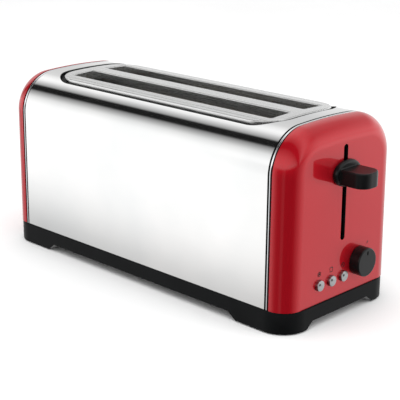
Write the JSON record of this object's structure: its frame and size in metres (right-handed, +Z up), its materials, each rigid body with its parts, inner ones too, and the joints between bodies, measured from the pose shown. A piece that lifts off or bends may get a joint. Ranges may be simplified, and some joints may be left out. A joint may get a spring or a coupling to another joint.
{
  "type": "pop up toaster",
  "caption": "Long-slot pop up toaster: steel body between red end caps on a black base, with a side lever, browning knob and push buttons.",
  "frame": {"origin": "on the floor plane, under the middle of the whole toaster's box, lever included", "axes": "+X towards the control end, +Z up, +Y across the slots to the right seen from the lever side's rear"},
  "size_m": [0.4166, 0.155, 0.1828],
  "materials": {
    "black_plastic": "moulded, fine grain",
    "black_gloss": "moulded, polished",
    "black_rubber": "moulded rubber",
    "zinc_steel": "zinc plated sheet",
    "polished_steel": "polished stainless sheet",
    "satin_plate": "satin stainless sheet",
    "red_gloss": "high gloss red",
    "bright_trim": "bright plated",
    "mica": "mica sheet",
    "nichrome": "resistance ribbon",
    "steel_wire": "drawn steel wire",
    "magnet_iron": "laminated iron",
    "copper_wire": "enamelled copper winding",
    "board_laminate": "glass fibre laminate",
    "aluminium_can": "drawn aluminium can",
    "silver_button": "satin silver coat"
  },
  "bodies": {
    "housing": {"base_housing": "black_plastic", "foot_pads": "black_rubber", "base_screws": "zinc_steel", "cord_gland": "black_rubber", "steel_wrap": "polished_steel", "top_plate": "satin_plate", "top_seal": "black_plastic", "front_cap": "red_gloss", "rear_cap": "red_gloss", "front_trim_ring": "black_plastic", "front_trim_bead": "bright_trim", "rear_trim_ring": "black_plastic", "rear_trim_bead": "bright_trim", "front_chassis_plate": "zinc_steel", "rear_chassis_plate": "zinc_steel", "left_reflector": "zinc_steel", "right_reflector": "zinc_steel", "left_heater_card": "mica", "left_heater_ribbon": "nichrome", "centre_heater_card": "mica", "centre_heater_ribbon": "nichrome", "right_heater_card": "mica", "right_heater_ribbon": "nichrome", "left_inner_guard": "steel_wire", "left_outer_guard": "steel_wire", "right_inner_guard": "steel_wire", "right_outer_guard": "steel_wire", "rod_bridge": "zinc_steel", "guide_rods": "steel_wire", "left_return_spring": "steel_wire", "right_return_spring": "steel_wire", "magnet_core": "magnet_iron", "magnet_coil": "copper_wire", "control_board": "board_laminate", "potentiometer": "zinc_steel", "push_switches": "black_plastic", "relay": "black_plastic", "capacitor": "aluminium_can"},
    "carriage": {"carriage_bracket": "zinc_steel", "lever_arm": "zinc_steel", "keeper_plate": "magnet_iron", "left_bread_rack": "zinc_steel", "right_bread_rack": "zinc_steel", "lever_knob": "black_gloss"},
    "crumb_drawer": {"crumb_tray": "zinc_steel", "tray_handle": "black_plastic"},
    "browning_control": {"browning_knob": "black_gloss", "knob_shaft": "steel_wire"},
    "defrost": {"defrost_button": "silver_button"},
    "reheat": {"reheat_button": "silver_button"},
    "cancel": {"cancel_button": "silver_button"}
  },
  "joints": [
    {"name": "carriage_slide", "type": "slide", "parent": "housing", "child": "carriage", "axis": [0, 0, 1], "range_m": [-0.056, 0.018], "stiffness_N_per_m": 160, "springref_m": 0.01331, "deforming": ["left_return_spring", "right_return_spring"]},
    {"name": "crumb_tray_slide", "type": "slide", "parent": "housing", "child": "crumb_drawer", "axis": [-1, 0, 0], "range_m": [0, 0.3]},
    {"name": "browning_turn", "type": "hinge", "parent": "housing", "child": "browning_control", "pos_m": [0.17725, 0.0246, 0.0481], "axis": [1, 0, 0], "range_deg": [-135, 135]},
    {"name": "defrost_press", "type": "slide", "parent": "housing", "child": "defrost", "axis": [-1, 0, 0], "range_m": [0, 0.0024], "stiffness_N_per_m": 500},
    {"name": "reheat_press", "type": "slide", "parent": "housing", "child": "reheat", "axis": [-1, 0, 0], "range_m": [0, 0.0024], "stiffness_N_per_m": 500},
    {"name": "cancel_press", "type": "slide", "parent": "housing", "child": "cancel", "axis": [-1, 0, 0], "range_m": [0, 0.0024], "stiffness_N_per_m": 500}
  ]
}
